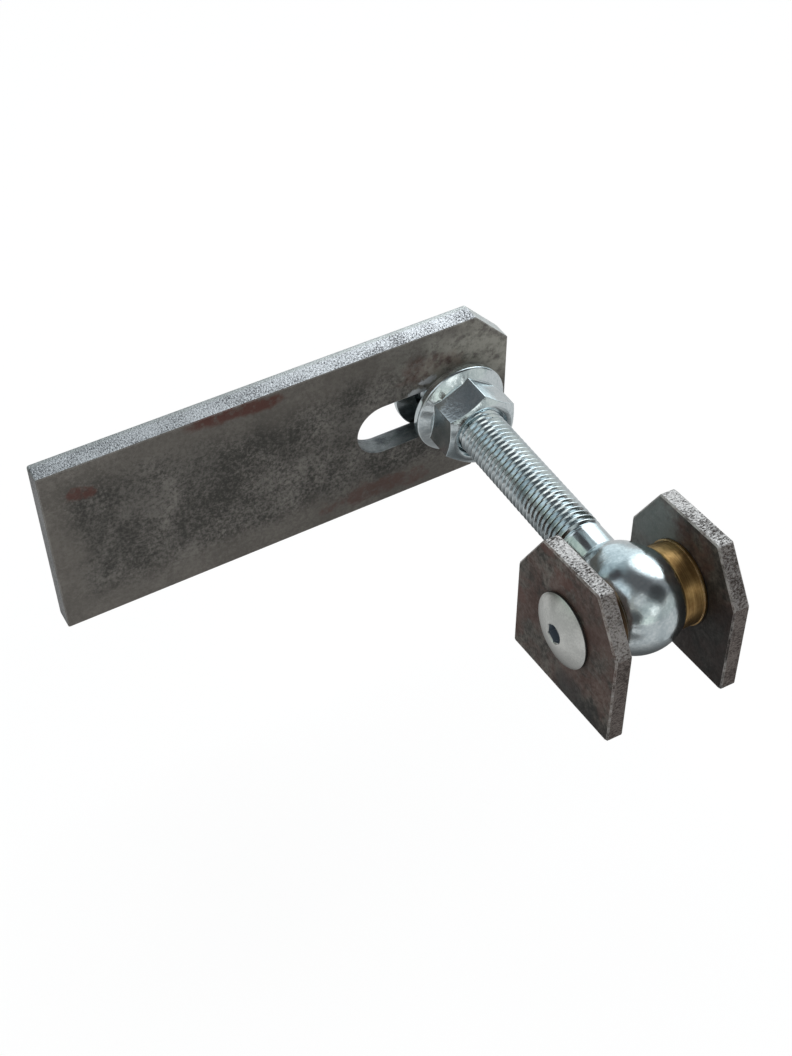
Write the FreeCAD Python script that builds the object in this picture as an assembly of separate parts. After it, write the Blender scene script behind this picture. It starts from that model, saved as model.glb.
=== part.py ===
import FreeCAD, Part
import math
import os
from FreeCAD import Vector

# Adjustable gate hinge. A slotted steel plate carries an M20 eye bolt between two flange nuts.
# The bolt's ball eye turns on a pin screw between two weld-on lugs, with a bronze bush each side.
# Frame: the plate's back face is y = 0 and faces +Y, X runs along the plate and Z up its height.
# The origin is the centre of that back face, and the bolt reaches out towards -Y.

# Mounting plate
plate_length = 200.0
plate_height = 80.0
plate_thickness = 10.0
corner_cut_along = 15.5
corner_cut_down = 16.0
plate_back_round = 1.6
plate_front_break = 0.35
plate_corner_round = 0.8

# Slot in the plate
slot_width = 24.0
slot_length = 58.0
slot_end_wall = 12.0
slot_back_round = 1.2

# Thread, bolt and eye
thread_diameter = 20.0
thread_play = 0.05
tip_chamfer = 1.8
tip_stand_out = 2.7
bolt_off_slot_end = 1.6
bolt_rise = 1.5
bolt_roll = 2.9
eye_reach = 126.8
thread_end_to_eye = 32.0
neck_diameter = 19.4
neck_blend = 1.0
eye_diameter = 40.2
eye_width = 25.0
eye_offset = -1.5
shoulder_step = 3.5
shoulder_to_eye = 8.6
eye_edge_round = 0.8
eye_bore_diameter = 20.0

# Flange nuts
nut_flats = 30.0
nut_height = 20.0
nut_chamfer_diameter = 26.8
nut_chamfer_angle = 30.0
nut_bore_chamfer = 1.7
flange_diameter = 41.0
flange_edge = 3.1
flange_edge_round = 1.2
flange_foot_break = 0.4
flange_top_height = 5.8
flange_top_diameter = 32.0
front_nut_corner_angle = 24.2
front_nut_gap = 3.6
rear_nut_corner_angle = 0.0

# Bronze bushes, pressed into the eye
bush_fit = 0.02
bush_collar_diameter = 32.9
bush_collar_width = 9.2
bush_lip_diameter = 33.9
bush_lip_width = 1.1
bush_edge_break = 0.5
bush_middle_gap = 0.6

# Pin screw
pin_diameter = 16.0
pin_play = 0.05
pin_head_diameter = 29.4
pin_head_edge = 1.2
pin_head_height = 4.9
pin_head_edge_break = 0.3
pin_tip_chamfer = 1.2
pin_tip_inset = 0.4
socket_flats = 7.0
socket_depth = 3.8
socket_mouth_chamfer = 0.35

# Lugs
lug_width = 60.5
lug_height = 60.0
lug_thickness = 7.0
lug_cut_across = 13.5
lug_cut_down = 20.8
lug_pin_height = 30.5
lug_corner_round = 1.5
lug_edge_break = 0.6
lug_tilt = -4.5
lug_hole_play = 0.15
lug_thread_play = 0.02
bush_to_far_lug = 0.3
bush_to_near_lug = 0.2

# Places worked out from the sizes
x_axis = Vector(1, 0, 0)
y_axis = Vector(0, 1, 0)
z_axis = Vector(0, 0, 1)
plate_front = -plate_thickness
slot_right = plate_length / 2 - slot_end_wall
slot_left = slot_right - slot_length
slot_radius = slot_width / 2
bolt_x = slot_right - slot_radius - bolt_off_slot_end
bolt_z = bolt_rise
eye_y = plate_front - eye_reach
eye_centre = Vector(bolt_x, eye_y, bolt_z)
bolt_tip = nut_height + tip_stand_out
eye_half = eye_width / 2
shoulder_radius = eye_diameter / 2 - shoulder_step
far_lug_inner = eye_offset + eye_half + bush_collar_width + bush_to_far_lug
near_lug_inner = eye_offset - eye_half - bush_collar_width - bush_to_near_lug
tolerance = 1e-6
clear_of_part = 1.0


def profile_face(points):
    """closed flat face through (radius, height) points, radius along X and height along Y"""
    corners = [Vector(r, h, 0) for r, h in points]
    return Part.Face(Part.makePolygon(corners + corners[:1]))


def turned(points):
    """solid of revolution about the Y axis"""
    return profile_face(points).revolve(Vector(0, 0, 0), y_axis, 360)


def edges_where(shape, test):
    return [edge for edge in shape.Edges if test(edge)]


def placed_at_eye(shape, tilt):
    """shape drawn about the origin, tilted on the pin, rolled with the bolt and moved to the eye"""
    shape.rotate(Vector(0, 0, 0), x_axis, tilt)
    shape.rotate(Vector(0, 0, 0), y_axis, bolt_roll)
    shape.translate(eye_centre)
    return shape


def plate_outline():
    half = plate_length / 2
    top = plate_height / 2
    points = [
        Vector(-half, 0, -top),
        Vector(half - corner_cut_along, 0, -top),
        Vector(half, 0, -top + corner_cut_down),
        Vector(half, 0, top - corner_cut_down),
        Vector(half - corner_cut_along, 0, top),
        Vector(-half, 0, top),
    ]
    return Part.Face(Part.makePolygon(points + points[:1]))


def slot_cutter(depth):
    left = slot_left + slot_radius
    right = slot_right - slot_radius
    upper = Part.LineSegment(Vector(left, 0, slot_radius), Vector(right, 0, slot_radius))
    round_right = Part.Arc(
        Vector(right, 0, slot_radius), Vector(slot_right, 0, 0), Vector(right, 0, -slot_radius)
    )
    lower = Part.LineSegment(Vector(right, 0, -slot_radius), Vector(left, 0, -slot_radius))
    round_left = Part.Arc(
        Vector(left, 0, -slot_radius), Vector(slot_left, 0, 0), Vector(left, 0, slot_radius)
    )
    wire = Part.Wire([curve.toShape() for curve in (upper, round_right, lower, round_left)])
    return Part.Face(wire).extrude(Vector(0, -depth, 0))


def on_plane_y(edge, y):
    box = edge.BoundBox
    return abs(box.YMin - y) < tolerance and abs(box.YMax - y) < tolerance


def is_slot_edge(edge):
    reach = slot_radius + clear_of_part
    return edge.BoundBox.ZMax < reach and edge.BoundBox.ZMin > -reach


def is_corner_edge(edge, axis, length):
    """straight edge along the axis, as long as the bar is thick"""
    along = edge.Vertexes[-1].Point - edge.Vertexes[0].Point
    return abs(abs(along.dot(axis)) - length) < tolerance


def make_plate():
    plate = plate_outline().extrude(Vector(0, -plate_thickness, 0))
    plate = plate.makeFillet(
        plate_corner_round, edges_where(plate, lambda e: is_corner_edge(e, y_axis, plate_thickness))
    )
    # the back edges are rolled over where the bar was sheared, the front ones stay crisp
    plate = plate.makeFillet(plate_back_round, edges_where(plate, lambda e: on_plane_y(e, 0)))
    plate = plate.makeChamfer(
        plate_front_break, edges_where(plate, lambda e: on_plane_y(e, plate_front))
    )
    plate = plate.cut(slot_cutter(plate_thickness))
    rim = edges_where(plate, lambda e: on_plane_y(e, 0) and is_slot_edge(e))
    return plate.makeFillet(slot_back_round, rim)


def make_eye_bolt():
    """one forging, turned about its own axis from the tip to the ball, then milled flat and bored"""
    shank = thread_diameter / 2
    neck = neck_diameter / 2
    ball = eye_diameter / 2
    thread_end = thread_end_to_eye
    # heights run from the eye's centre towards the tip
    tip = bolt_tip - eye_y
    lean = math.asin((ball - shoulder_radius) / shoulder_to_eye)
    ball_leaves = Vector(ball * math.cos(lean), ball * math.sin(lean), 0)
    shoulder_joins = Vector(
        shoulder_radius * math.cos(lean), shoulder_to_eye + shoulder_radius * math.sin(lean), 0
    )
    crease_height = shoulder_to_eye + math.sqrt(shoulder_radius ** 2 - neck ** 2)
    crease = Vector(neck, crease_height, 0)
    shoulder_mid_angle = (lean + math.acos(neck / shoulder_radius)) / 2
    shoulder_mid = Vector(
        shoulder_radius * math.cos(shoulder_mid_angle),
        shoulder_to_eye + shoulder_radius * math.sin(shoulder_mid_angle),
        0,
    )
    ball_mid = Vector(ball * math.cos(math.pi / 4), -ball * math.sin(math.pi / 4), 0)
    bottom = Vector(0, -ball, 0)
    runout = (thread_diameter - neck_diameter) / 2
    corners = [
        crease,
        Vector(neck, thread_end - runout, 0),
        Vector(shank, thread_end, 0),
        Vector(shank, tip - tip_chamfer, 0),
        Vector(shank - tip_chamfer, tip, 0),
        Vector(0, tip, 0),
        bottom,
    ]
    edges = [
        Part.Arc(bottom, ball_mid, ball_leaves).toShape(),
        Part.makeLine(ball_leaves, shoulder_joins),
        Part.Arc(shoulder_joins, shoulder_mid, crease).toShape(),
    ]
    edges += [Part.makeLine(a, b) for a, b in zip(corners, corners[1:])]
    blank = Part.Face(Part.Wire(edges)).revolve(Vector(0, 0, 0), y_axis, 360)
    blank = blank.makeFillet(neck_blend, edges_where(blank, lambda e: on_plane_y(e, crease_height)))
    # a quarter turn keeps the start of the turned faces clear of the flats
    blank.rotate(Vector(0, 0, 0), y_axis, 90)
    # parallel flats either side of the eye, wider apart than the shank
    slab = Part.makeBox(
        eye_width, tip + ball + 2 * clear_of_part, 2 * ball,
        Vector(eye_offset - eye_half, -ball - clear_of_part, -ball),
    )
    bolt = blank.common(slab)
    flats = (eye_offset - eye_half, eye_offset + eye_half)
    rims = edges_where(bolt, lambda e: e.BoundBox.XLength < tolerance and any(
        abs(e.BoundBox.XMin - flat) < tolerance for flat in flats
    ))
    bolt = bolt.makeFillet(eye_edge_round, rims)
    bore = Part.makeCylinder(
        eye_bore_diameter / 2, 2 * eye_width, Vector(eye_offset - eye_width, 0, 0), x_axis
    )
    return placed_at_eye(bolt.cut(bore), 0)


def make_flange_nut(corner_angle):
    """flange nut standing on y = 0 with its outer face at y = nut_height"""
    edge = flange_diameter / 2
    top = flange_top_diameter / 2
    flange = turned([
        (0, 0),
        (edge - flange_foot_break, 0),
        (edge, flange_foot_break),
        (edge, flange_edge),
        (top, flange_top_height),
        (0, flange_top_height),
    ])
    rim = edges_where(flange, lambda e: on_plane_y(e, flange_edge))
    flange = flange.makeFillet(flange_edge_round, rim)
    corner = nut_flats / math.sqrt(3)
    hexagon = []
    for k in range(6):
        angle = math.radians(corner_angle + 60 * k)
        hexagon.append(Vector(corner * math.cos(angle), 0, corner * math.sin(angle)))
    prism = Part.Face(Part.makePolygon(hexagon + hexagon[:1])).extrude(Vector(0, nut_height, 0))
    # the outer corners are turned off at thirty degrees
    crown = nut_chamfer_diameter / 2
    reach = corner + clear_of_part
    drop = (reach - crown) * math.tan(math.radians(nut_chamfer_angle))
    turned_off = turned([
        (0, 0), (reach, 0), (reach, nut_height - drop), (crown, nut_height), (0, nut_height)
    ])
    nut = flange.fuse(prism.common(turned_off)).removeSplitter()
    bore = thread_diameter / 2 + thread_play
    mouth = bore + nut_bore_chamfer
    hole = turned([
        (0, 0), (mouth, 0), (bore, nut_bore_chamfer), (bore, nut_height - nut_bore_chamfer),
        (mouth, nut_height), (0, nut_height),
    ])
    return nut.cut(hole)


def make_front_nut():
    nut = make_flange_nut(front_nut_corner_angle)
    # turned round to face the plate, backed off by its gap
    nut = nut.mirror(Vector(0, 0, 0), y_axis)
    nut.translate(Vector(bolt_x, plate_front - front_nut_gap, bolt_z))
    return nut


def make_rear_nut():
    nut = make_flange_nut(rear_nut_corner_angle)
    nut.translate(Vector(bolt_x, 0, bolt_z))
    return nut


def make_bush(side):
    """flanged bush, its collar on the eye's flat and its sleeve pressed into the eye's bore"""
    sleeve = eye_bore_diameter / 2 - bush_fit
    bore = pin_diameter / 2 + pin_play
    collar = bush_collar_diameter / 2
    lip = bush_lip_diameter / 2
    start = bush_middle_gap / 2
    bush_end = eye_half + bush_collar_width
    points = [
        (bore, start),
        (sleeve, start),
        (sleeve, eye_half),
        (collar - bush_edge_break, eye_half),
        (collar, eye_half + bush_edge_break),
        (collar, bush_end - bush_lip_width),
        (lip, bush_end - bush_lip_width),
        (lip, bush_end),
        (bore, bush_end),
    ]
    bush = turned(points)
    bush.rotate(Vector(0, 0, 0), z_axis, -90 * side)
    bush.translate(Vector(eye_offset, 0, 0))
    return placed_at_eye(bush, 0)


def lug_outline():
    """outline about the pin's centre, Y across and Z up from the base"""
    half = lug_width / 2
    base = -lug_pin_height
    top = lug_height - lug_pin_height
    return [
        Vector(0, -half, base),
        Vector(0, half, base),
        Vector(0, half, top - lug_cut_down),
        Vector(0, half - lug_cut_across, top),
        Vector(0, -half + lug_cut_across, top),
        Vector(0, -half, top - lug_cut_down),
    ]


def make_lug(low_face, hole_play):
    """lug between low_face and low_face + lug_thickness along the pin"""
    points = lug_outline()
    lug = Part.Face(Part.makePolygon(points + points[:1])).extrude(Vector(lug_thickness, 0, 0))
    lug = lug.makeFillet(
        lug_corner_round, edges_where(lug, lambda e: is_corner_edge(e, x_axis, lug_thickness))
    )
    rims = edges_where(lug, lambda e: e.BoundBox.XLength < tolerance)
    lug = lug.makeChamfer(lug_edge_break, rims)
    hole = Part.makeCylinder(
        pin_diameter / 2 + hole_play, lug_thickness * 3, Vector(-lug_thickness, 0, 0), x_axis
    )
    lug = lug.cut(hole)
    lug.translate(Vector(low_face, 0, 0))
    return placed_at_eye(lug, lug_tilt)


def make_pin():
    """low domed screw: the head bears on the near lug and the far end is screwed into the far one"""
    head = pin_head_diameter / 2
    shank = pin_diameter / 2
    length = far_lug_inner - near_lug_inner + 2 * lug_thickness - pin_tip_inset
    rise = pin_head_height - pin_head_edge
    dome_radius = (head ** 2 + rise ** 2) / (2 * rise)
    half_angle = math.asin(head / dome_radius) / 2
    dome_mid = Vector(
        dome_radius * math.sin(half_angle),
        pin_head_height - dome_radius + dome_radius * math.cos(half_angle),
        0,
    )
    rim = Vector(head, pin_head_edge, 0)
    apex = Vector(0, pin_head_height, 0)
    corners = [
        apex,
        Vector(0, -length, 0),
        Vector(shank - pin_tip_chamfer, -length, 0),
        Vector(shank, pin_tip_chamfer - length, 0),
        Vector(shank, 0, 0),
        Vector(head - pin_head_edge_break, 0, 0),
        Vector(head, pin_head_edge_break, 0),
        rim,
    ]
    edges = [Part.makeLine(a, b) for a, b in zip(corners, corners[1:])]
    edges.append(Part.Arc(rim, dome_mid, apex).toShape())
    pin = Part.Face(Part.Wire(edges)).revolve(Vector(0, 0, 0), y_axis, 360)
    corner = socket_flats / math.sqrt(3)
    hexagon = []
    for k in range(6):
        angle = math.radians(60 * k)
        hexagon.append(
            Vector(corner * math.sin(angle), pin_head_height - socket_depth, corner * math.cos(angle))
        )
    socket = Part.Face(Part.makePolygon(hexagon + hexagon[:1])).extrude(Vector(0, socket_depth * 2, 0))
    mouth_low = pin_head_height - 2 * socket_mouth_chamfer
    mouth = Part.makeCone(
        corner - socket_mouth_chamfer, corner + socket_mouth_chamfer, 2 * socket_mouth_chamfer,
        Vector(0, mouth_low, 0), y_axis,
    )
    pin = pin.cut(socket.fuse(mouth))
    # the turned shape's +Y end becomes the head, pointing to -X
    pin.rotate(Vector(0, 0, 0), z_axis, 90)
    pin.translate(Vector(near_lug_inner - lug_thickness, 0, 0))
    return placed_at_eye(pin, lug_tilt)


pieces = {
    "mounting_plate": make_plate(),
    "eye_bolt": make_eye_bolt(),
    "front_nut": make_front_nut(),
    "rear_nut": make_rear_nut(),
    "near_bush": make_bush(-1),
    "far_bush": make_bush(1),
    "hinge_pin": make_pin(),
    "near_lug": make_lug(near_lug_inner - lug_thickness, lug_hole_play),
    "far_lug": make_lug(far_lug_inner, lug_thread_play),
}

os.makedirs("parts", exist_ok=True)
for name, shape in pieces.items():
    solid = shape.Solids[0]
    box = solid.BoundBox
    print(name, "solids", len(shape.Solids), "valid", shape.isValid(), "volume", round(solid.Volume, 1),
          "box", [round(v, 2) for v in (box.XMin, box.YMin, box.ZMin, box.XMax, box.YMax, box.ZMax)])
    solid.exportStep("parts/" + name + ".step")
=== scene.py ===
import math

import bmesh
import bpy
from mathutils import Matrix, Vector


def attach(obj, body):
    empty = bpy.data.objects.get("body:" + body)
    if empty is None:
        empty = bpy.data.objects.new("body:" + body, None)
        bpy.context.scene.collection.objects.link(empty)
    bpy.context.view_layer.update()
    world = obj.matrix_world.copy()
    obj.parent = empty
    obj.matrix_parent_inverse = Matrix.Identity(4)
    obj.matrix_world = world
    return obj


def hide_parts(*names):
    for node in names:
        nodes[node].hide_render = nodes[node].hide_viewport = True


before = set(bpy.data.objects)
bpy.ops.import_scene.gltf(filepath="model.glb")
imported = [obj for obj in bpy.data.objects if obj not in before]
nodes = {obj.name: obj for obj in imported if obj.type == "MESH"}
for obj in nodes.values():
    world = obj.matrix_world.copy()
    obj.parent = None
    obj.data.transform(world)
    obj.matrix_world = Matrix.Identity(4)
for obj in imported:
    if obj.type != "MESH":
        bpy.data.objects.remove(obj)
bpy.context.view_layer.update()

# camera, fitted to the photograph's corners, in metres
shot = {
    "place": (-0.1905, -0.43174, 0.44088),
    "forward": (0.34129, 0.60525, -0.71916),
    "up": (0.36041, 0.62236, 0.69482),
    "lens": 55.05,
    "sensor": 36.0,
}

studio = {
    "floorHeight": -0.15,
    "floorSize": 6.0,
    "floorColour": (0.80, 0.80, 0.80, 1.0),
    "floorWhite": 0.92,
    "floorGloss": 0.96,
    "floorInMetal": 0.56,
    # painted shadow of the object on the floor as the metal mirrors it: centre, inner and outer radius,
    # brightness
    "floorShades": [
        ((0.10, -0.12), 0.03, 0.22, 0.12),
        ((-0.10, -0.37), 0.05, 0.16, 0.20),
        ((-0.60, -1.05), 0.20, 0.48, 0.20),
    ],
    "dim": (0.11, 0.11, 0.115, 1.0),
    # soft regions of the room: direction, cosines at the rim and the full part, and colour
    "glows": [
        ((-0.90, -0.45, 0.30), (0.45, 0.95), (0.36, 0.36, 0.34, 1.0)),
        ((-0.25, 0.82, 0.50), (0.80, 0.94), (0.42, 0.50, 0.53, 1.0)),
        ((0.32, 0.90, 0.28), (0.91, 0.97), (0.82, 0.92, 0.96, 1.0)),
        ((-0.75, 0.60, 0.30), (0.86, 0.97), (0.50, 0.58, 0.52, 1.0)),
        ((-0.57, 0.32, 0.755), (0.962, 0.988), (0.82, 0.90, 0.95, 1.0)),
        ((-0.31, 0.605, 0.733), (0.952, 0.982), (0.060, 0.056, 0.060, 1.0)),
        ((-0.66, -0.04, 0.75), (0.90, 0.975), (0.78, 0.86, 0.90, 1.0)),
        ((-0.24, -0.62, 0.745), (0.958, 0.985), (0.55, 0.56, 0.56, 1.0)),
        ((0.72, -0.25, 0.65), (0.90, 0.98), (0.24, 0.25, 0.26, 1.0)),
        ((0.66, -0.74, 0.05), (0.88, 0.970), (0.58, 0.60, 0.58, 1.0)),
        ((-0.02, -0.95, 0.32), (0.86, 0.97), (0.52, 0.56, 0.55, 1.0)),
        ((-0.16, -0.97, -0.02), (0.960, 0.990), (0.80, 0.86, 0.80, 1.0)),
        ((0.13, -0.92, 0.38), (0.980, 0.996), (1.4, 1.4, 1.35, 1.0)),
        ((-0.54, -0.80, 0.20), (0.945, 0.985), (0.08, 0.082, 0.082, 1.0)),
        ((0.44, -0.60, 0.67), (0.92, 0.975), (0.050, 0.050, 0.052, 1.0)),
        ((0.82, 0.55, -0.05), (0.80, 0.96), (0.95, 1.05, 1.08, 1.0)),
        ((0.42, 0.55, 0.72), (0.955, 0.990), (1.1, 1.2, 1.22, 1.0)),
        ((0.66, 0.36, 0.65), (0.83, 0.94), (2.2, 2.32, 2.38, 1.0)),
    ],
    "unevenScale": 5.0,
    "uneven": 0.05,
}


def makeCamera():
    forward = Vector(shot["forward"]).normalized()
    up = Vector(shot["up"])
    up = (up - forward * up.dot(forward)).normalized()
    right = forward.cross(up)
    turn = Matrix((right, up, -forward)).transposed()
    data = bpy.data.cameras.new("camera")
    data.sensor_width = shot["sensor"]
    data.lens = shot["lens"]
    data.clip_start = 0.01
    camera = bpy.data.objects.new("camera", data)
    camera.matrix_world = Matrix.Translation(shot["place"]) @ turn.to_4x4()
    bpy.context.scene.collection.objects.link(camera)
    bpy.context.scene.camera = camera


# small helpers for shader trees

def setInput(tree, socket, value):
    if isinstance(value, bpy.types.NodeSocket):
        tree.links.new(value, socket)
    else:
        socket.default_value = value


def addNode(tree, kind, inputs=None, **settings):
    made = tree.nodes.new(kind)
    for key, value in settings.items():
        setattr(made, key, value)
    for key, value in (inputs or {}).items():
        setInput(tree, made.inputs[key], value)
    return made


def noise(tree, vector, scale, detail=4.0, roughness=0.55, distortion=0.0):
    made = addNode(tree, "ShaderNodeTexNoise", {
        "Vector": vector, "Scale": scale, "Detail": detail,
        "Roughness": roughness, "Distortion": distortion,
    })
    return made.outputs["Fac"]


def remap(tree, value, low, high, toLow=0.0, toHigh=1.0):
    made = addNode(tree, "ShaderNodeMapRange", {
        "Value": value, "From Min": low, "From Max": high, "To Min": toLow, "To Max": toHigh,
    }, interpolation_type="SMOOTHSTEP")
    return made.outputs["Result"]


def calc(tree, operation, first, second=0.0):
    made = addNode(tree, "ShaderNodeMath", operation=operation)
    setInput(tree, made.inputs[0], first)
    setInput(tree, made.inputs[1], second)
    return made.outputs[0]


def plusOf(tree, first, second):
    return calc(tree, "ADD", first, second)


def minusOf(tree, first, second):
    return calc(tree, "SUBTRACT", first, second)


def timesOf(tree, first, second):
    return calc(tree, "MULTIPLY", first, second)


def largerOf(tree, first, second):
    return calc(tree, "MAXIMUM", first, second)


def sizeOf(tree, value):
    return calc(tree, "ABSOLUTE", value)


def vectorCalc(tree, operation, first, second=(0, 0, 0), output="Vector"):
    made = addNode(tree, "ShaderNodeVectorMath", operation=operation)
    setInput(tree, made.inputs[0], first)
    setInput(tree, made.inputs[1], second)
    return made.outputs[output]


def blend(tree, factor, first, second):
    made = addNode(tree, "ShaderNodeMix", data_type="RGBA")
    setInput(tree, made.inputs[0], factor)
    setInput(tree, made.inputs[6], first)
    setInput(tree, made.inputs[7], second)
    return made.outputs[2]


def stretched(tree, vector, scale):
    return addNode(tree, "ShaderNodeMapping", {"Vector": vector, "Scale": scale}).outputs["Vector"]


def splitXyz(tree, vector):
    return addNode(tree, "ShaderNodeSeparateXYZ", {"Vector": vector}).outputs


def bumped(tree, height, distance):
    return addNode(tree, "ShaderNodeBump", {"Height": height, "Distance": distance}).outputs["Normal"]


def newGroup(name, inputs, outputs):
    group = bpy.data.node_groups.new(name, "ShaderNodeTree")
    for label, kind, value in inputs:
        socket = group.interface.new_socket(name=label, in_out="INPUT", socket_type=kind)
        if value is not None:
            socket.default_value = value
    for label, kind in outputs:
        group.interface.new_socket(name=label, in_out="OUTPUT", socket_type=kind)
    return group, group.nodes.new("NodeGroupInput").outputs, group.nodes.new("NodeGroupOutput").inputs


def useGroup(tree, group, inputs):
    made = addNode(tree, "ShaderNodeGroup", node_tree=group)
    for key, value in inputs.items():
        setInput(tree, made.inputs[key], value)
    return made.outputs


def newMaterial(name):
    material = bpy.data.materials.new(name)
    material.use_nodes = True
    tree = material.node_tree
    bsdf = tree.nodes["Principled BSDF"]
    place = addNode(tree, "ShaderNodeTexCoord")
    return material, tree, bsdf, place.outputs


# shared effects

def edgeWearGroup():
    # corners that hands and tools have rubbed, broken up along their length
    group, given, out = newGroup("edgeWear", [
        ("Radius", "NodeSocketFloat", 0.0006),
        ("Vector", "NodeSocketVector", None),
        ("Breakup Scale", "NodeSocketFloat", 400.0),
    ], [("Mask", "NodeSocketFloat")])
    soft = addNode(group, "ShaderNodeBevel", {"Radius": given["Radius"]}, samples=6)
    real = addNode(group, "ShaderNodeNewGeometry")
    alike = vectorCalc(group, "DOT_PRODUCT", soft.outputs["Normal"], real.outputs["Normal"], "Value")
    bend = minusOf(group, 1.0, alike)
    broken = noise(group, given["Vector"], given["Breakup Scale"], 3.0)
    edge = remap(group, bend, 0.01, 0.16)
    group.links.new(timesOf(group, edge, remap(group, broken, 0.30, 0.62)), out["Mask"])
    return group


def millScaleGroup():
    # rolled skin: fine light flecks over darker cloudy patches
    group, given, out = newGroup("millScale", [
        ("Vector", "NodeSocketVector", None),
        ("Cloud Scale", "NodeSocketFloat", 45.0),
        ("Fleck Scale", "NodeSocketFloat", 620.0),
        ("Dark", "NodeSocketColor", (0.040, 0.037, 0.033, 1.0)),
        ("Light", "NodeSocketColor", (0.198, 0.183, 0.166, 1.0)),
    ], [("Color", "NodeSocketColor"), ("Roughness", "NodeSocketFloat"), ("Height", "NodeSocketFloat")])
    cloud = noise(group, given["Vector"], given["Cloud Scale"], 6.0, 0.6, 0.6)
    fleck = noise(group, given["Vector"], given["Fleck Scale"], 5.0, 0.7)
    pit = noise(group, given["Vector"], timesOf(group, given["Fleck Scale"], 2.4), 2.0, 0.6)
    both = plusOf(group, timesOf(group, cloud, 0.75), timesOf(group, fleck, 0.85))
    both = plusOf(group, both, timesOf(group, pit, 0.35))
    shade = remap(group, both, 0.80, 1.20)
    colour = blend(group, shade, given["Dark"], given["Light"])
    wide = noise(group, given["Vector"], timesOf(group, given["Cloud Scale"], 0.45), 3.0, 0.5, 0.8)
    colour = blend(group, remap(group, wide, 0.60, 0.38, 0.0, 0.40), colour, given["Dark"])
    group.links.new(colour, out["Color"])
    group.links.new(remap(group, both, 0.7, 1.25, 0.62, 0.42), out["Roughness"])
    group.links.new(plusOf(group, fleck, timesOf(group, pit, 0.5)), out["Height"])
    return group


def stainGroup():
    # a ragged patch round a centre, with its own radii along the three axes
    group, given, out = newGroup("rustStain", [
        ("Vector", "NodeSocketVector", None),
        ("Centre", "NodeSocketVector", (0.0, 0.0, 0.0)),
        ("Radii", "NodeSocketVector", (0.01, 0.01, 0.01)),
        ("Ragged Scale", "NodeSocketFloat", 120.0),
        ("Ragged", "NodeSocketFloat", 0.9),
    ], [("Mask", "NodeSocketFloat")])
    offset = vectorCalc(group, "SUBTRACT", given["Vector"], given["Centre"])
    scaled = vectorCalc(group, "DIVIDE", offset, given["Radii"])
    reach = vectorCalc(group, "LENGTH", scaled, output="Value")
    ragged = minusOf(group, noise(group, given["Vector"], given["Ragged Scale"], 6.0, 0.7), 0.5)
    away = plusOf(group, reach, timesOf(group, ragged, timesOf(group, given["Ragged"], 3.0)))
    group.links.new(remap(group, away, 1.0, 0.45), out["Mask"])
    return group


def shearedGroup():
    # cropped bar edge: bright torn metal with short streaks across the thickness
    group, given, out = newGroup("shearedEdge", [
        ("Vector", "NodeSocketVector", None),
        ("Grain", "NodeSocketVector", (1100.0, 700.0, 1100.0)),
        ("Dark", "NodeSocketColor", (0.12, 0.12, 0.13, 1.0)),
        ("Light", "NodeSocketColor", (0.84, 0.86, 0.88, 1.0)),
    ], [("Color", "NodeSocketColor"), ("Roughness", "NodeSocketFloat"), ("Height", "NodeSocketFloat")])
    torn = vectorCalc(group, "MULTIPLY", given["Vector"], given["Grain"])
    grain = noise(group, torn, 1.0, 5.0, 0.65, 0.3)
    patch = noise(group, given["Vector"], 60.0, 3.0)
    level = plusOf(group, grain, timesOf(group, minusOf(group, patch, 0.5), 0.38))
    shade = remap(group, level, 0.36, 0.60)
    group.links.new(blend(group, shade, given["Dark"], given["Light"]), out["Color"])
    group.links.new(remap(group, level, 0.35, 0.65, 0.55, 0.30), out["Roughness"])
    group.links.new(grain, out["Height"])
    return group


def zincGroup():
    # plated skin: faint crystals and dull handling patches
    group, given, out = newGroup("zincSkin", [
        ("Vector", "NodeSocketVector", None),
        ("Fine Scale", "NodeSocketFloat", 700.0),
        ("Bright", "NodeSocketColor", (0.78, 0.85, 0.87, 1.0)),
        ("Dull", "NodeSocketColor", (0.54, 0.62, 0.65, 1.0)),
        ("Smooth", "NodeSocketFloat", 0.16),
        ("Rough", "NodeSocketFloat", 0.36),
    ], [("Color", "NodeSocketColor"), ("Roughness", "NodeSocketFloat"), ("Height", "NodeSocketFloat")])
    fine = noise(group, given["Vector"], given["Fine Scale"], 4.0, 0.6)
    patch = noise(group, given["Vector"], 75.0, 4.0, 0.6, 0.4)
    level = plusOf(group, timesOf(group, patch, 0.65), timesOf(group, fine, 0.35))
    shade = remap(group, level, 0.36, 0.62)
    group.links.new(blend(group, shade, given["Dull"], given["Bright"]), out["Color"])
    rough = addNode(group, "ShaderNodeMapRange", {
        "Value": shade, "To Min": given["Rough"], "To Max": given["Smooth"],
    })
    group.links.new(rough.outputs["Result"], out["Roughness"])
    group.links.new(fine, out["Height"])
    return group


edgeWear = edgeWearGroup()
millScale = millScaleGroup()
rustStain = stainGroup()
shearedEdge = shearedGroup()
zincSkin = zincGroup()
print("shader groups made")

rustColour = (0.088, 0.030, 0.022, 1.0)
rubbedSteel = (0.66, 0.67, 0.67, 1.0)
grainDepth = 0.00012  # depth of rolled skin and torn edges, in metres


def shared(tree, onFace, onEdge, edge):
    # a value that goes over from the broad faces to the edges
    return plusOf(tree, timesOf(tree, onFace, minusOf(tree, 1.0, edge)), timesOf(tree, onEdge, edge))


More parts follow.
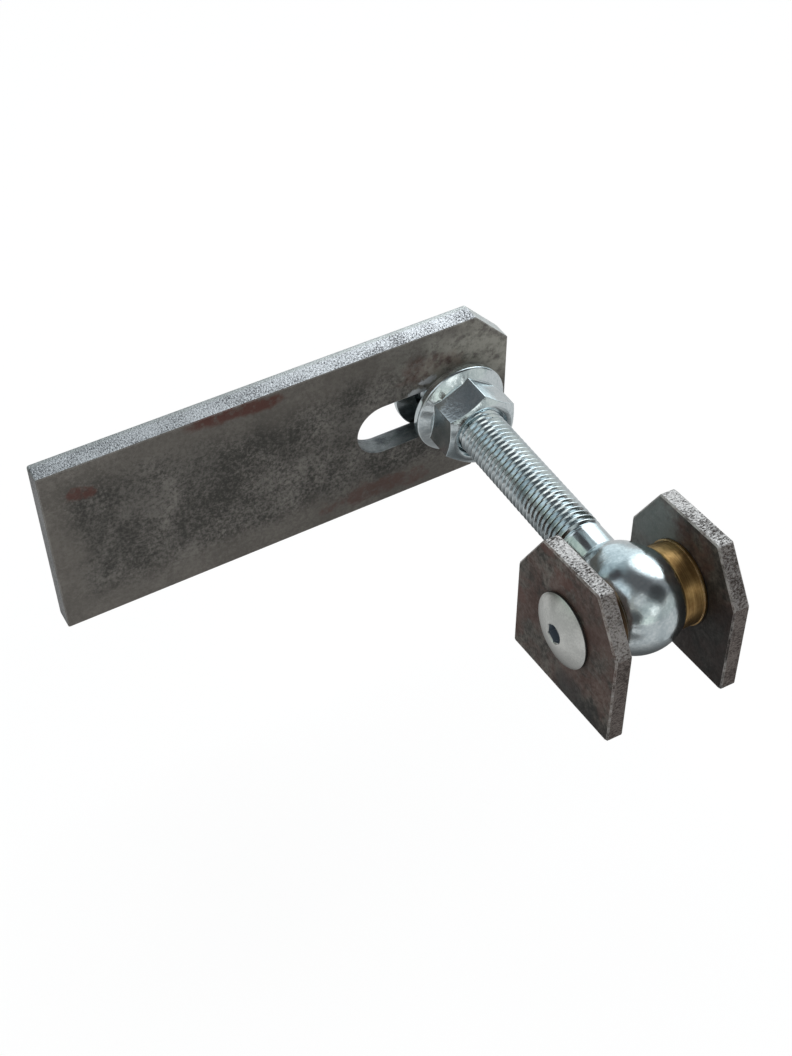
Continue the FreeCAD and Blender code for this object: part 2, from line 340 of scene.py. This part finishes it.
# mounting plate finish, in metres on its own axes
plateLook = {
    "halfLength": 0.100,
    "halfHeight": 0.040,
    "marginInner": 0.020,
    "marginOuter": 0.007,
    "marginWander": 0.034,
    "marginColour": (0.148, 0.133, 0.117, 1.0),
    "paleCentre": (0.0900, -0.010, 0.0240),
    "paleRadii": (0.042, 0.010, 0.026),
    "paleColour": (0.290, 0.280, 0.245, 1.0),
    # where the nut's flange has rubbed: centre and radii
    "rubs": [
        ((0.0575, -0.010, 0.0125), (0.0050, 0.010, 0.0024)),
        ((0.0625, -0.010, 0.0170), (0.0045, 0.010, 0.0022)),
    ],
    "rubColour": (0.50, 0.52, 0.54, 1.0),
    # centre, radii, scale and depth of the ragged rim, and strength
    "stains": [
        ((-0.0850, -0.010, 0.0262), (0.0075, 0.010, 0.0040), 130.0, 0.9, 0.9),
        ((-0.0240, -0.010, 0.0382), (0.022, 0.014, 0.0050), 90.0, 0.50, 1.0),
        ((-0.0110, -0.010, 0.0362), (0.014, 0.014, 0.0040), 90.0, 0.50, 1.0),
        ((0.0360, -0.010, -0.0315), (0.024, 0.010, 0.0058), 120.0, 1.0, 0.62),
        ((0.0530, -0.010, -0.0340), (0.013, 0.010, 0.0042), 120.0, 0.9, 0.5),
        ((0.0620, -0.010, 0.0250), (0.016, 0.010, 0.0080), 70.0, 0.9, 0.45),
    ],
    "edgeGrain": (1600.0, 1050.0, 1600.0),
    "edgeDark": (0.115, 0.112, 0.12, 1.0),
    "edgeLight": (0.86, 0.865, 0.89, 1.0),
    "bandStart": -0.0036,
    "bandFull": -0.0022,
    "bandColour": (0.60, 0.615, 0.60, 1.0),
    "squareEndColour": (0.10, 0.10, 0.095, 1.0),
    "dullStart": 0.075,
    "dullFull": -0.060,
    "dullColour": (0.16, 0.165, 0.17, 1.0),
    "slotStart": 0.0290,
    "slotSide": 0.0270,
    "slotDark": (0.10, 0.105, 0.11, 1.0),
    "slotLight": (0.30, 0.31, 0.31, 1.0),
}


def plateMaterial():
    look = plateLook
    material, tree, bsdf, place = newMaterial("plateSteel")
    here = place["Object"]
    spot = splitXyz(tree, here)
    facing = splitXyz(tree, place["Normal"])
    # broad faces keep the rolled skin, with a smoother warm band along their edges
    skin = useGroup(tree, millScale, {"Vector": here})
    fromEnd = minusOf(tree, look["halfLength"], sizeOf(tree, spot["X"]))
    fromSide = minusOf(tree, look["halfHeight"], sizeOf(tree, spot["Z"]))
    inward = calc(tree, "MINIMUM", fromEnd, fromSide)
    wander = minusOf(tree, noise(tree, here, 30.0, 6.0, 0.65), 0.5)
    wandering = plusOf(tree, inward, timesOf(tree, wander, look["marginWander"]))
    margin = remap(tree, wandering, look["marginInner"], look["marginOuter"])
    colour = blend(tree, timesOf(tree, margin, 0.60), skin["Color"], look["marginColour"])
    rough = minusOf(tree, skin["Roughness"], timesOf(tree, margin, 0.08))
    pale = useGroup(tree, rustStain, {
        "Vector": here, "Centre": look["paleCentre"], "Radii": look["paleRadii"], "Ragged Scale": 60.0,
    })["Mask"]
    speckled = remap(tree, noise(tree, here, 240.0, 5.0, 0.7), 0.34, 0.60)
    colour = blend(tree, timesOf(tree, pale, speckled), colour, look["paleColour"])
    stain = 0.0
    for centre, radii, rimScale, ragged, strength in look["stains"]:
        patch = useGroup(tree, rustStain, {
            "Vector": here, "Centre": centre, "Radii": radii, "Ragged Scale": rimScale, "Ragged": ragged,
        })
        stain = largerOf(tree, timesOf(tree, patch["Mask"], strength), stain)
    broken = remap(tree, noise(tree, here, 330.0, 4.0, 0.65), 0.30, 0.54, 0.35, 1.0)
    stain = timesOf(tree, stain, broken)
    colour = blend(tree, timesOf(tree, stain, 0.92), colour, rustColour)
    rubbed = 0.0
    for centre, radii in look["rubs"]:
        patch = useGroup(tree, rustStain, {
            "Vector": here, "Centre": centre, "Radii": radii, "Ragged Scale": 400.0,
        })
        rubbed = largerOf(tree, patch["Mask"], rubbed)
    colour = blend(tree, timesOf(tree, rubbed, 0.8), colour, look["rubColour"])
    # cropped edges are bright torn metal
    edgeFace = remap(tree, sizeOf(tree, facing["Y"]), 0.75, 0.45)
    torn = useGroup(tree, shearedEdge, {
        "Vector": here, "Grain": look["edgeGrain"], "Dark": look["edgeDark"], "Light": look["edgeLight"],
    })
    # a smooth band runs along the back of each cropped edge, and the corner cuts are smoother too
    band = remap(tree, spot["Y"], look["bandStart"], look["bandFull"])
    diagonal = remap(tree, facing["X"], 0.45, 0.60)
    smoothPart = timesOf(tree, largerOf(tree, band, diagonal), 0.85)
    tornColour = blend(tree, smoothPart, torn["Color"], look["bandColour"])
    squareEnd = timesOf(tree, remap(tree, facing["X"], -0.8, -0.95), 0.8)
    tornColour = blend(tree, squareEnd, tornColour, look["squareEndColour"])
    # the cropped edge is darker and greyer towards the square end
    towardsSquareEnd = remap(tree, spot["X"], look["dullStart"], look["dullFull"], 0.0, 0.55)
    tornColour = blend(tree, towardsSquareEnd, tornColour, look["dullColour"])
    # the slot was punched, so its wall is a smoother grey
    alongSlot = remap(tree, spot["X"], look["slotStart"], look["slotStart"] + 0.0006)
    acrossSlot = remap(tree, fromSide, look["slotSide"], look["slotSide"] + 0.0006)
    inSlot = timesOf(tree, timesOf(tree, alongSlot, acrossSlot), remap(tree, fromEnd, 0.0010, 0.0020))
    wall = noise(tree, stretched(tree, here, (130.0, 260.0, 130.0)), 1.0, 4.0)
    wallColour = blend(tree, remap(tree, wall, 0.30, 0.70), look["slotDark"], look["slotLight"])
    tornColour = blend(tree, inSlot, tornColour, wallColour)
    wear = useGroup(tree, edgeWear, {"Vector": here, "Radius": 0.0005, "Breakup Scale": 260.0})["Mask"]
    colour = blend(tree, edgeFace, colour, tornColour)
    colour = blend(tree, timesOf(tree, wear, 0.6), colour, rubbedSteel)
    bright = largerOf(tree, edgeFace, wear)
    setInput(tree, bsdf.inputs["Base Color"], colour)
    setInput(tree, bsdf.inputs["Metallic"], remap(tree, bright, 0.0, 1.0, 0.35, 1.0))
    setInput(tree, bsdf.inputs["Roughness"], shared(tree, rough, torn["Roughness"], bright))
    height = shared(tree, skin["Height"], timesOf(tree, torn["Height"], 3.0), edgeFace)
    setInput(tree, bsdf.inputs["Normal"], bumped(tree, height, grainDepth))
    return material


# lug finish, painted light and shade among it, in metres: centres and radii of its patches
lugLook = {
    "skinDark": (0.027, 0.023, 0.019, 1.0),
    "skinLight": (0.134, 0.118, 0.100, 1.0),
    "rustColour": (0.092, 0.038, 0.028, 1.0),
    # painted light: a pale teal patch high on the far lug's inner face, where it is lit
    "pale": [
        ((0.0935, -0.1150, 0.0140), (0.0060, 0.0240, 0.0260)),
    ],
    "paleColour": (0.180, 0.205, 0.196, 1.0),
    # painted shade: dark patches low on the lugs, on the far lug's inner face and the near lug's outer
    # face
    "dark": [
        ((0.0930, -0.1500, -0.0140), (0.0080, 0.0420, 0.0420)),
        ((0.0450, -0.1520, -0.0270), (0.0060, 0.0230, 0.0170)),
    ],
    "paintedShadeColour": (0.006, 0.006, 0.006, 1.0),
    "stains": [
        ((0.0450, -0.1194, 0.0300), (0.008, 0.008, 0.004)),
        ((0.0450, -0.1100, -0.0040), (0.008, 0.006, 0.006)),
        ((0.0450, -0.1329, 0.0240), (0.008, 0.010, 0.005)),
    ],
    # cut edges, and those of them that look up, painted lighter as lit from above
    "edgeGrain": (900.0, 1900.0, 1900.0),
    "edgeDark": (0.058, 0.044, 0.039, 1.0),
    "edgeLight": (0.200, 0.170, 0.155, 1.0),
    "topGrain": (900.0, 1400.0, 1400.0),
    "litTopDark": (0.030, 0.022, 0.019, 1.0),
    "litTopLight": (0.58, 0.56, 0.55, 1.0),
    "rubbedAndLitColour": (0.60, 0.57, 0.55, 1.0),
    "cornerSlant": 0.707,
}


def lugMaterial():
    look = lugLook
    material, tree, bsdf, place = newMaterial("lugSteel")
    here = place["Object"]
    facing = splitXyz(tree, place["Normal"])
    skin = useGroup(tree, millScale, {
        "Vector": here, "Cloud Scale": 60.0, "Fleck Scale": 480.0,
        "Dark": look["skinDark"], "Light": look["skinLight"],
    })
    stain = timesOf(tree, remap(tree, noise(tree, here, 75.0, 5.0, 0.65, 0.5), 0.40, 0.60), 0.70)
    for centre, radii in look["stains"]:
        patch = useGroup(tree, rustStain, {"Vector": here, "Centre": centre, "Radii": radii})
        stain = largerOf(tree, patch["Mask"], stain)
    colour = blend(tree, timesOf(tree, stain, 0.75), skin["Color"], look["rustColour"])
    # the dark patches are painted shade and the pale one painted light
    for patches, paintedLightKey in (("dark", "paintedShadeColour"), ("pale", "paleColour")):
        for centre, radii in look[patches]:
            patch = useGroup(tree, rustStain, {
                "Vector": here, "Centre": centre, "Radii": radii, "Ragged Scale": 45.0, "Ragged": 0.6,
            })
            colour = blend(tree, timesOf(tree, patch["Mask"], 0.75), colour, look[paintedLightKey])
    edgeFace = remap(tree, sizeOf(tree, facing["X"]), 0.75, 0.45)
    # cut edges that look up get a lighter copy of the torn metal: painted light from above
    litFromAbove = remap(tree, facing["Z"], 0.35, 0.9)
    torn = useGroup(tree, shearedEdge, {
        "Vector": here, "Grain": look["edgeGrain"], "Dark": look["edgeDark"], "Light": look["edgeLight"],
    })
    top = useGroup(tree, shearedEdge, {
        "Vector": here, "Grain": look["topGrain"], "Dark": look["litTopDark"], "Light": look["litTopLight"],
    })
    colour = blend(tree, edgeFace, colour, blend(tree, litFromAbove, torn["Color"], top["Color"]))
    # the broken corners between face and edge are rubbed bright in places, partly worn metal and partly
    # a painted highlight where they catch the light
    slant = sizeOf(tree, minusOf(tree, sizeOf(tree, facing["X"]), look["cornerSlant"]))
    places = remap(tree, noise(tree, here, 160.0, 5.0, 0.7), 0.42, 0.66)
    rubbed = timesOf(tree, remap(tree, slant, 0.20, 0.08), places)
    wear = useGroup(tree, edgeWear, {"Vector": here, "Radius": 0.0006, "Breakup Scale": 300.0})["Mask"]
    wear = largerOf(tree, wear, rubbed)
    colour = blend(tree, timesOf(tree, wear, 0.80), colour, look["rubbedAndLitColour"])
    bright = largerOf(tree, edgeFace, wear)
    setInput(tree, bsdf.inputs["Base Color"], colour)
    setInput(tree, bsdf.inputs["Metallic"], remap(tree, bright, 0.0, 1.0, 0.35, 0.85))
    setInput(tree, bsdf.inputs["Roughness"], shared(tree, skin["Roughness"], torn["Roughness"], bright))
    height = shared(tree, skin["Height"], timesOf(tree, torn["Height"], 3.0), edgeFace)
    setInput(tree, bsdf.inputs["Normal"], bumped(tree, height, grainDepth))
    return material


# plated pieces: roughness of the bright skin, colour of rubbed corners, and where the
# rolled shank ends and the forged neck begins along the bolt, in metres
zincLook = {
    "smooth": 0.09,
    "wornColour": (0.93, 0.96, 0.98, 1.0),
    "forgedStart": -0.100,
    "forgedFull": -0.107,
}


def zincMaterial(name, dullRough, grain, forged=0.0):
    look = zincLook
    material, tree, bsdf, place = newMaterial(name)
    here = place["Object"]
    skin = useGroup(tree, zincSkin, {"Vector": here, "Smooth": look["smooth"], "Rough": dullRough})
    wear = useGroup(tree, edgeWear, {"Vector": here, "Radius": 0.0004, "Breakup Scale": 500.0})["Mask"]
    colour = blend(tree, timesOf(tree, wear, 0.6), skin["Color"], look["wornColour"])
    setInput(tree, bsdf.inputs["Base Color"], colour)
    bsdf.inputs["Metallic"].default_value = 1.0
    rough = skin["Roughness"]
    if forged:
        # the forged eye and neck are duller than the rolled thread
        along = splitXyz(tree, here)["Y"]
        towardsEye = remap(tree, along, look["forgedStart"], look["forgedFull"], 0.0, forged)
        rough = plusOf(tree, rough, towardsEye)
    setInput(tree, bsdf.inputs["Roughness"], rough)
    setInput(tree, bsdf.inputs["Normal"], bumped(tree, skin["Height"], grain))
    return material


# bushes: dark, light and worn bronze, the near one darker all over as painted shade for the shadow it
# sits in
bronzeLook = {
    "bushBronze": ((0.22, 0.125, 0.045, 1.0), (0.56, 0.36, 0.15, 1.0), (1.0, 0.86, 0.60, 1.0)),
    "shadowedBronze": ((0.04, 0.025, 0.016, 1.0), (0.10, 0.065, 0.036, 1.0), (0.24, 0.16, 0.10, 1.0)),
}


def bronzeMaterial(name):
    dark, light, worn = bronzeLook[name]
    material, tree, bsdf, place = newMaterial(name)
    here = place["Object"]
    rings = noise(tree, stretched(tree, here, (2600.0, 60.0, 60.0)), 1.0, 3.0)
    patch = noise(tree, here, 110.0, 4.0, 0.6)
    level = plusOf(tree, timesOf(tree, rings, 0.4), timesOf(tree, patch, 0.6))
    colour = blend(tree, remap(tree, level, 0.36, 0.64), dark, light)
    wear = useGroup(tree, edgeWear, {"Vector": here, "Radius": 0.0004, "Breakup Scale": 300.0})["Mask"]
    colour = blend(tree, timesOf(tree, wear, 0.8), colour, worn)
    setInput(tree, bsdf.inputs["Base Color"], colour)
    bsdf.inputs["Metallic"].default_value = 1.0
    setInput(tree, bsdf.inputs["Roughness"], remap(tree, patch, 0.3, 0.7, 0.40, 0.26))
    setInput(tree, bsdf.inputs["Normal"], bumped(tree, rings, 0.00004))
    return material


# pin screw: its middle in the eye, its lean, and its socket along its own axis, in metres
pinLook = {
    "centre": (0.0744, -0.1368, 0.0015),
    "roll": math.radians(2.9),
    "tilt": math.radians(-4.5),
    "socketHalf": 0.0042,
    "socketMouth": -0.0346,
    "socketEnd": -0.0300,
    "bright": (0.78, 0.79, 0.76, 1.0),
    "dull": (0.58, 0.59, 0.57, 1.0),
    "socketShadeColour": (0.11, 0.135, 0.165, 1.0),
    "headRimShadeColour": (0.07, 0.075, 0.08, 1.0),
    "wornColour": (0.92, 0.93, 0.92, 1.0),
}


def pinMaterial():
    look = pinLook
    material, tree, bsdf, place = newMaterial("pinSatin")
    here = place["Object"]
    # place on the pin's own axes, which are rolled with the bolt and tilted with the lugs
    offset = vectorCalc(tree, "SUBTRACT", here, look["centre"])
    level = addNode(tree, "ShaderNodeVectorRotate", {
        "Vector": offset, "Angle": -look["roll"],
    }, rotation_type="Y_AXIS")
    upright = addNode(tree, "ShaderNodeVectorRotate", {
        "Vector": level.outputs[0], "Angle": -look["tilt"],
    }, rotation_type="X_AXIS")
    across = splitXyz(tree, upright.outputs[0])
    # distance across the hexagon: the largest of its three pairs of flats
    wide = sizeOf(tree, across["Y"])
    for lean in (math.radians(60), math.radians(-60)):
        sideways = timesOf(tree, across["Y"], math.cos(lean))
        along = plusOf(tree, sideways, timesOf(tree, across["Z"], math.sin(lean)))
        wide = largerOf(tree, wide, sizeOf(tree, along))
    inHexagon = remap(tree, wide, look["socketHalf"] + 0.0002, look["socketHalf"])
    pastMouth = remap(tree, across["X"], look["socketMouth"] - 0.0001, look["socketMouth"] + 0.0002)
    beforeEnd = remap(tree, across["X"], look["socketEnd"] + 0.0005, look["socketEnd"])
    shadedSocket = timesOf(tree, inHexagon, timesOf(tree, pastMouth, beforeEnd))
    skin = useGroup(tree, zincSkin, {
        "Vector": here, "Fine Scale": 1400.0, "Bright": look["bright"], "Dull": look["dull"],
        "Smooth": 0.30, "Rough": 0.44,
    })
    # the inside of the hex socket is painted dark and bluish: painted shade in the recess
    colour = blend(tree, shadedSocket, skin["Color"], look["socketShadeColour"])
    # the side of the head is darkened: painted shade along its rim, where the head stands proud of the
    # lug
    facing = splitXyz(tree, place["Normal"])
    outwards = remap(tree, sizeOf(tree, facing["X"]), 0.55, 0.30)
    headRimShade = timesOf(tree, outwards, remap(tree, wide, look["socketHalf"] * 2, look["socketHalf"] * 3))
    colour = blend(tree, timesOf(tree, headRimShade, 0.85), colour, look["headRimShadeColour"])
    wear = useGroup(tree, edgeWear, {"Vector": here, "Radius": 0.0004, "Breakup Scale": 400.0})["Mask"]
    colour = blend(tree, timesOf(tree, wear, 0.8), colour, look["wornColour"])
    setInput(tree, bsdf.inputs["Base Color"], colour)
    setInput(tree, bsdf.inputs["Metallic"], remap(tree, shadedSocket, 0.0, 1.0, 1.0, 0.45))
    setInput(tree, bsdf.inputs["Roughness"], skin["Roughness"])
    setInput(tree, bsdf.inputs["Normal"], bumped(tree, skin["Height"], 0.00003))
    return material


plateSteel = plateMaterial()
lugSteel = lugMaterial()
boltZinc = zincMaterial("boltZinc", 0.22, 0.00003, 0.03)
nutZinc = zincMaterial("nutZinc", 0.20, 0.00004)
bushBronze = bronzeMaterial("bushBronze")
# the near bush gets the darker bronze: painted shade
shadowedBronze = bronzeMaterial("shadowedBronze")
pinSatin = pinMaterial()
print("materials made")


def dress(node, material):
    data = nodes[node].data
    data.materials.clear()
    data.materials.append(material)


def mergedCopy(node):
    # a node's loose triangles joined into one closed mesh
    made = bmesh.new()
    made.from_mesh(nodes[node].data)
    bmesh.ops.remove_doubles(made, verts=made.verts, dist=1e-6)
    return made


def softenShading(mesh, sharpAngle):
    for face in mesh.faces:
        face.smooth = True
    for edge in mesh.edges:
        edge.smooth = len(edge.link_faces) == 2 and edge.calc_face_angle(0.0) < sharpAngle


def finishPiece(name, mesh, material, body, node):
    data = bpy.data.meshes.new(name)
    mesh.to_mesh(data)
    mesh.free()
    data.materials.append(material)
    piece = bpy.data.objects.new(name, data)
    bpy.context.scene.collection.objects.link(piece)
    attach(piece, body)
    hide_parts(node)


dress("mounting_plate", plateSteel)
dress("near_lug", lugSteel)
dress("far_lug", lugSteel)

# degrees between two facets: one flat, a corner, and shaded as one round face
facets = {
    "flat": 0.6,
    "corner": 24,
    "round": 38,
    "roundOnBolt": 28,
}

# turned and pressed parts keep the CAD form, with their corners softened: node, finish,
# body, slot and the rounding of the corners in metres
crisp = {
    "frontNut": ("front_nut", nutZinc, "turning_nut", "nut_zinc", 0.00028),
    "rearNut": ("rear_nut", nutZinc, "slot_carriage", "nut_zinc", 0.00028),
    "nearBush": ("near_bush", shadowedBronze, "bolt", "bush_bronze", 0.00012),
    "farBush": ("far_bush", bushBronze, "bolt", "bush_bronze", 0.00012),
    "hingePin": ("hinge_pin", pinSatin, "post_side", "pin_steel", 0.00025),
}


def makeCrisp():
    for name, (node, material, body, slot, rounding) in crisp.items():
        mesh = mergedCopy(node)
        flat = math.radians(facets["flat"])
        bmesh.ops.dissolve_limit(mesh, angle_limit=flat, verts=mesh.verts, edges=mesh.edges)
        corner = math.radians(facets["corner"])
        corners = [edge for edge in mesh.edges if edge.calc_face_angle(0.0) > corner]
        bmesh.ops.bevel(
            mesh, geom=corners, affect="EDGES", offset=rounding, offset_type="OFFSET",
            segments=2, profile=0.5, material=-1, clamp_overlap=True,
        )
        softenShading(mesh, math.radians(facets["round"]))
        finishPiece(name, mesh, material, body, node)


makeCrisp()
print("nuts, bushes and pin made")

# eye bolt, in metres: the forged end is the CAD form, the shank gets a rolled helical thread
bolt = {
    "axisX": 0.0744,
    "axisZ": 0.0015,
    "tipY": 0.0227,
    "threadEndY": -0.1048,
    "pitch": 0.0025,
    "crestRadius": 0.0100,
    "rootRadius": 0.00850,
    "neckRadius": 0.00966,
    "joinY": -0.1052,
    "overlap": 0.0003,
    "runout": 0.0040,
    "tipChamfer": 0.0018,
    "stepsPerTurn": 56,
}


def threadProfile():
    # one pitch of the thread, as (radius, distance along the axis)
    pitch = bolt["pitch"]
    crest = bolt["crestRadius"]
    root = bolt["rootRadius"]
    depth = crest - root
    return [
        (crest, 0.0),
        (crest, pitch * 0.11),
        (crest - depth * 0.10, pitch * 0.16),
        (root + depth * 0.16, pitch * 0.41),
        (root, pitch * 0.49),
        (root, pitch * 0.62),
        (root + depth * 0.16, pitch * 0.70),
        (crest - depth * 0.10, pitch * 0.95),
        (crest, pitch),
    ]


def threadedShank():
    mesh = bmesh.new()
    pitch = bolt["pitch"]
    start = bolt["threadEndY"] - pitch * 2
    turns = math.ceil((bolt["tipY"] - start) / pitch) + 1
    profile = [mesh.verts.new((radius, start + along, 0.0)) for radius, along in threadProfile()]
    edges = [mesh.edges.new(pair) for pair in zip(profile, profile[1:])]
    steps = bolt["stepsPerTurn"]
    bmesh.ops.spin(
        mesh, geom=profile + edges, cent=(0, 0, 0), axis=(0, -1, 0), dvec=(0, pitch / steps, 0),
        angle=math.tau, steps=steps, use_merge=False,
    )
    made = 1
    while made < turns:
        # the turns so far are copied on along the bolt, which doubles them
        again = bmesh.ops.duplicate(mesh, geom=mesh.verts[:] + mesh.edges[:] + mesh.faces[:])
        moved = [part for part in again["geom"] if isinstance(part, bmesh.types.BMVert)]
        bmesh.ops.translate(mesh, verts=moved, vec=(0, pitch * made, 0))
        made *= 2
    bmesh.ops.remove_doubles(mesh, verts=mesh.verts, dist=1e-6)
    for end, outward in ((bolt["joinY"] - bolt["overlap"], -1), (bolt["tipY"], 1)):
        bmesh.ops.bisect_plane(
            mesh, geom=mesh.verts[:] + mesh.edges[:] + mesh.faces[:], dist=1e-7,
            plane_co=(0, end, 0), plane_no=(0, outward, 0), clear_outer=True,
        )
    for vert in mesh.verts:
        radius = math.hypot(vert.co.x, vert.co.z)
        # grooves fade out into the plain neck, and the tip's corner is turned off
        fade = min(1.0, max(0.0, (vert.co.y - bolt["threadEndY"]) / bolt["runout"]))
        wanted = bolt["neckRadius"] + (radius - bolt["neckRadius"]) * fade
        wanted = min(wanted, bolt["crestRadius"] - bolt["tipChamfer"] + (bolt["tipY"] - vert.co.y))
        vert.co.x *= wanted / radius
        vert.co.z *= wanted / radius
    rims = [edge for edge in mesh.edges if len(edge.link_faces) == 1]
    bmesh.ops.holes_fill(mesh, edges=rims)
    bmesh.ops.recalc_face_normals(mesh, faces=mesh.faces)
    bmesh.ops.translate(mesh, verts=mesh.verts, vec=(bolt["axisX"], 0, bolt["axisZ"]))
    return mesh


def makeEyeBolt():
    mesh = mergedCopy("eye_bolt")
    bmesh.ops.bisect_plane(
        mesh, geom=mesh.verts[:] + mesh.edges[:] + mesh.faces[:], dist=1e-7,
        plane_co=(0, bolt["joinY"], 0), plane_no=(0, 1, 0), clear_outer=True,
    )
    rims = [edge for edge in mesh.edges if len(edge.link_faces) == 1]
    bmesh.ops.holes_fill(mesh, edges=rims)
    shank = threadedShank()
    held = bpy.data.meshes.new("shank")
    shank.to_mesh(held)
    shank.free()
    mesh.from_mesh(held)
    bpy.data.meshes.remove(held)
    softenShading(mesh, math.radians(facets["roundOnBolt"]))
    finishPiece("eyeBolt", mesh, boltZinc, "bolt", "eye_bolt")


makeEyeBolt()
print("eye bolt threaded")


# studio

def makeFloor():
    mesh = bmesh.new()
    bmesh.ops.create_grid(mesh, x_segments=1, y_segments=1, size=studio["floorSize"] / 2)
    bmesh.ops.translate(mesh, verts=mesh.verts, vec=(0, 0, studio["floorHeight"]))
    data = bpy.data.meshes.new("floor")
    mesh.to_mesh(data)
    mesh.free()
    floor = bpy.data.objects.new("floor", data)
    bpy.context.scene.collection.objects.link(floor)
    material = bpy.data.materials.new("paleFloor")
    material.use_nodes = True
    tree = material.node_tree
    tree.nodes.clear()
    diffuse = addNode(tree, "ShaderNodeBsdfDiffuse", {"Color": studio["floorColour"]})
    path = addNode(tree, "ShaderNodeLightPath").outputs
    place = addNode(tree, "ShaderNodeTexCoord").outputs["Object"]
    mirror = studio["floorInMetal"]
    # the floor as the metal sees it carries a painted shadow of the object
    for centre, inner, outer, shade in studio["floorShades"]:
        spot = (centre[0], centre[1], studio["floorHeight"])
        away = vectorCalc(tree, "DISTANCE", place, spot, "Value")
        mirror = timesOf(tree, mirror, remap(tree, away, inner, outer, shade, 1.0))
    strength = largerOf(tree, mirror, path["Is Camera Ray"])
    white = addNode(tree, "ShaderNodeEmission", {"Color": (1, 1, 1, 1), "Strength": strength})
    seen = timesOf(tree, path["Is Camera Ray"], studio["floorWhite"])
    mirrored = largerOf(tree, path["Is Glossy Ray"], path["Is Transmission Ray"])
    seen = largerOf(tree, seen, timesOf(tree, mirrored, studio["floorGloss"]))
    mix = addNode(tree, "ShaderNodeMixShader")
    tree.links.new(seen, mix.inputs[0])
    tree.links.new(diffuse.outputs[0], mix.inputs[1])
    tree.links.new(white.outputs[0], mix.inputs[2])
    output = addNode(tree, "ShaderNodeOutputMaterial")
    tree.links.new(mix.outputs[0], output.inputs["Surface"])
    data.materials.append(material)


def makeWorld():
    world = bpy.data.worlds.new("studio")
    bpy.context.scene.world = world
    world.use_nodes = True
    tree = world.node_tree
    tree.nodes.clear()
    way = addNode(tree, "ShaderNodeTexCoord").outputs["Generated"]
    # the edges of the bright regions wander, as those of a real room do
    wander = minusOf(tree, noise(tree, way, studio["unevenScale"], 4.0, 0.6, 0.5), 0.5)
    wander = timesOf(tree, wander, studio["uneven"])
    colour = studio["dim"]
    for aim, (outer, inner), glow in studio["glows"]:
        facing = vectorCalc(tree, "DOT_PRODUCT", way, Vector(aim).normalized(), "Value")
        colour = blend(tree, remap(tree, plusOf(tree, facing, wander), outer, inner), colour, glow)
    light = addNode(tree, "ShaderNodeBackground", {"Color": colour, "Strength": 1.0})
    white = addNode(tree, "ShaderNodeBackground", {"Color": (1, 1, 1, 1), "Strength": 1.0})
    path = addNode(tree, "ShaderNodeLightPath").outputs
    mix = addNode(tree, "ShaderNodeMixShader")
    tree.links.new(path["Is Camera Ray"], mix.inputs[0])
    tree.links.new(light.outputs[0], mix.inputs[1])
    tree.links.new(white.outputs[0], mix.inputs[2])
    output = addNode(tree, "ShaderNodeOutputWorld")
    tree.links.new(mix.outputs[0], output.inputs["Surface"])


lamps = {
    "key": {"place": (0.1, 0.5, 1.1), "size": 0.9, "power": 9.0, "colour": (1.0, 1.0, 1.0)},
    "side": {"place": (1.0, -0.5, 0.8), "size": 0.7, "power": 7.0, "colour": (0.96, 0.98, 1.0)},
    "front": {"place": (-0.9, -0.9, 0.7), "size": 0.8, "power": 4.0, "colour": (1.0, 0.99, 0.97)},
}


def makeLamps():
    aim = Vector((0.03, -0.06, 0.0))
    for name, lamp in lamps.items():
        data = bpy.data.lights.new(name, "AREA")
        data.shape = "SQUARE"
        data.size = lamp["size"]
        data.energy = lamp["power"]
        data.color = lamp["colour"]
        light = bpy.data.objects.new(name, data)
        light.location = lamp["place"]
        light.visible_glossy = False
        light.rotation_euler = (aim - light.location).to_track_quat("-Z", "Y").to_euler()
        bpy.context.scene.collection.objects.link(light)


makeCamera()
makeFloor()
makeWorld()
makeLamps()
bpy.context.scene.view_settings.view_transform = "Standard"
print("studio ready")
